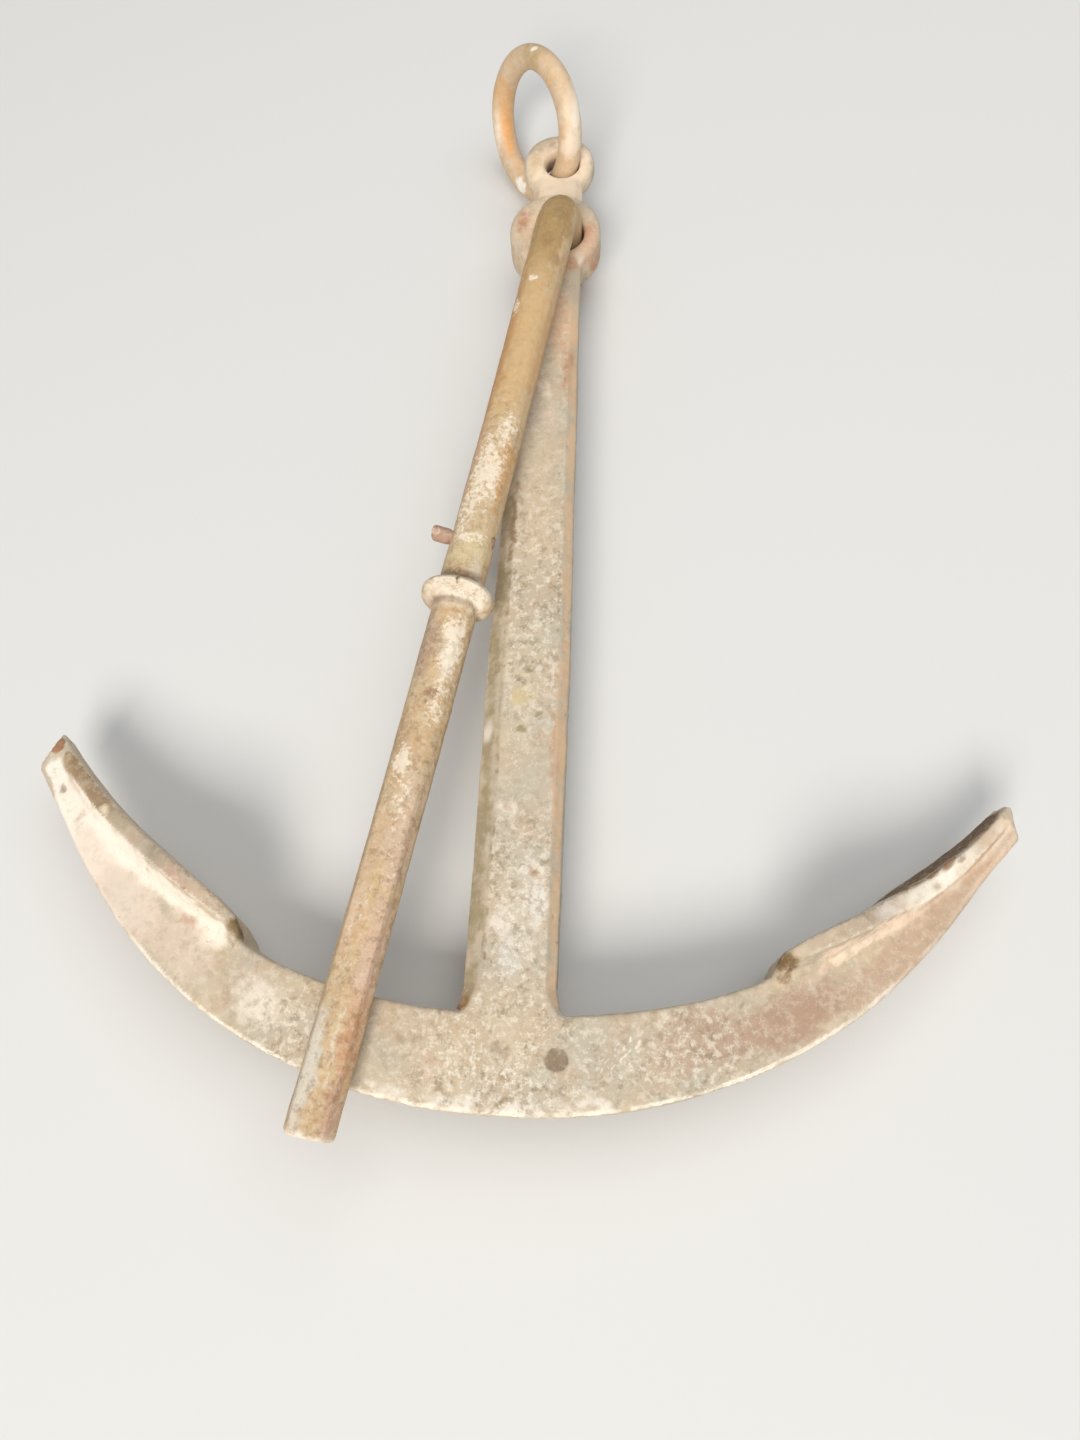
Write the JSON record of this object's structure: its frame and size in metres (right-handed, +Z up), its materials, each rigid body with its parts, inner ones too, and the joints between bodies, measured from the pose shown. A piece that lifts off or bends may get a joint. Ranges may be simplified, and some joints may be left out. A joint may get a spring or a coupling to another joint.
{
  "type": "anchor",
  "caption": "Old forged boat anchor with curved arms, shield palms, a ring and a folded iron stock held by a key; rusty iron with pale crust.",
  "frame": {"origin": "on the ground under the middle of the whole anchor, which lies on its side with its stock folded", "axes": "+Y along the shank from the crown to the ring, +X to the right arm, +Z up"},
  "size_m": [0.4832, 0.64, 0.0856],
  "materials": {
    "anchor_iron": "weathered forged iron, grey-beige scale with brown rust and pale crust",
    "ring_iron": "rubbed warm brown rust with pale highlights",
    "stock_iron": "olive-brown and orange rust with white flaking crust",
    "key_iron": "dull reddish-brown rust"
  },
  "bodies": {
    "anchor": {"anchor_body": "anchor_iron"},
    "ring": {"ring": "ring_iron"},
    "stock": {"stock": "stock_iron"},
    "key": {"stock_key": "key_iron"}
  },
  "joints": [
    {"name": "ring_swing", "type": "hinge", "parent": "anchor", "child": "ring", "pos_m": [0.0071, 0.25113, 0.0332], "axis": [0, 0, 1], "range_deg": [-160, 98]},
    {"name": "stock_swing", "type": "hinge", "parent": "anchor", "child": "stock", "pos_m": [0.0099, 0.19473, 0.0332], "axis": [0, 0, 1], "range_deg": [-6.4, 2.6]},
    {"name": "key_pull", "type": "slide", "parent": "stock", "child": "key", "axis": [-0.9861, 0.1664, 0], "range_m": [0, 0.022]}
  ]
}
